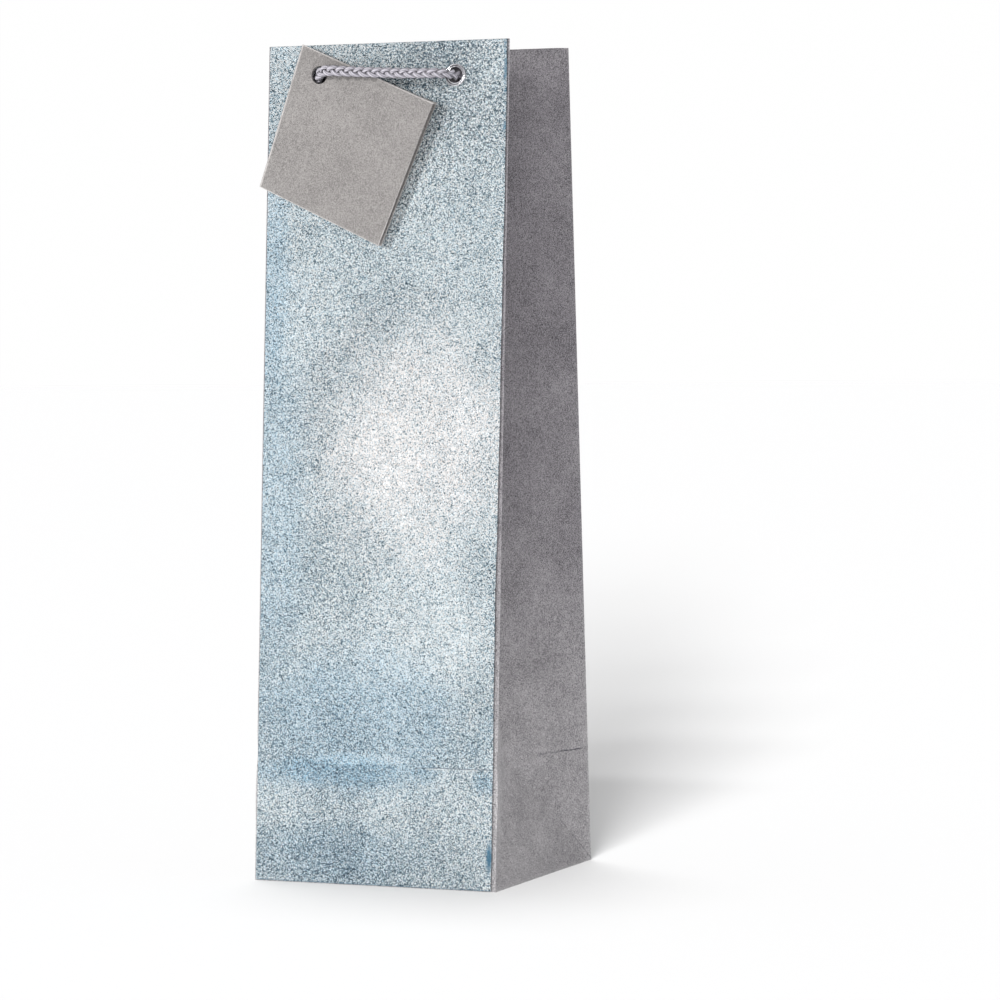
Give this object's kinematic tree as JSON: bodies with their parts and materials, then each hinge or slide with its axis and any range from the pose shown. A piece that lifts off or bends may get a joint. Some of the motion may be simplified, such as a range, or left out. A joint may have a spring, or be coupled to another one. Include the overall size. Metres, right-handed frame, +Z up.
{
  "type": "wine gift bag",
  "caption": "Tall open paper gift bag for a bottle, with glitter faces, folded-in side gussets, board-stiffened hem, eyelets, short plaited cord handles and a folded card tag.",
  "frame": {"origin": "centre of the base's underside, with the bag standing", "axes": "+X to the right when facing the tagged front, +Y from the front to the back, +Z up"},
  "size_m": [0.1133, 0.11, 0.3544],
  "materials": {
    "grey_paper": "matte",
    "glitter": "satin",
    "hem_board": "matte",
    "base_board": "matte",
    "silver_metal": "polished",
    "cord": "matte",
    "tag_card": "matte"
  },
  "bodies": {
    "bag": {"paper_body": "grey_paper", "front_glitter_sheet": "glitter", "back_glitter_sheet": "glitter", "front_top_board": "hem_board", "back_top_board": "hem_board", "front_left_eyelet": "silver_metal", "front_left_washer": "silver_metal", "front_right_eyelet": "silver_metal", "front_right_washer": "silver_metal", "back_left_eyelet": "silver_metal", "back_left_washer": "silver_metal", "back_right_eyelet": "silver_metal", "back_right_washer": "silver_metal", "front_cord": "cord", "front_left_knot": "cord", "front_right_knot": "cord", "back_cord": "cord", "back_left_knot": "cord", "back_right_knot": "cord"},
    "tag": {"tag_back_leaf": "tag_card"},
    "tag_cover": {"tag_front_leaf": "tag_card"},
    "base_board": {"base_board": "base_board"}
  },
  "joints": [
    {"name": "tag_swing", "type": "hinge", "parent": "bag", "child": "tag", "pos_m": [-0.0293, -0.0372, 0.34125], "axis": [0, -0.9982, 0.0603], "range_deg": [-75, 0]},
    {"name": "tag_open", "type": "hinge", "parent": "tag", "child": "tag_cover", "pos_m": [-0.04027, -0.03747, 0.34505], "axis": [-0.327, -0.0186, -0.9448], "range_deg": [-1.5, 1]},
    {"name": "base_board_lift", "type": "slide", "parent": "bag", "child": "base_board", "axis": [0, 0, 1], "range_m": [0, 0.005]}
  ]
}
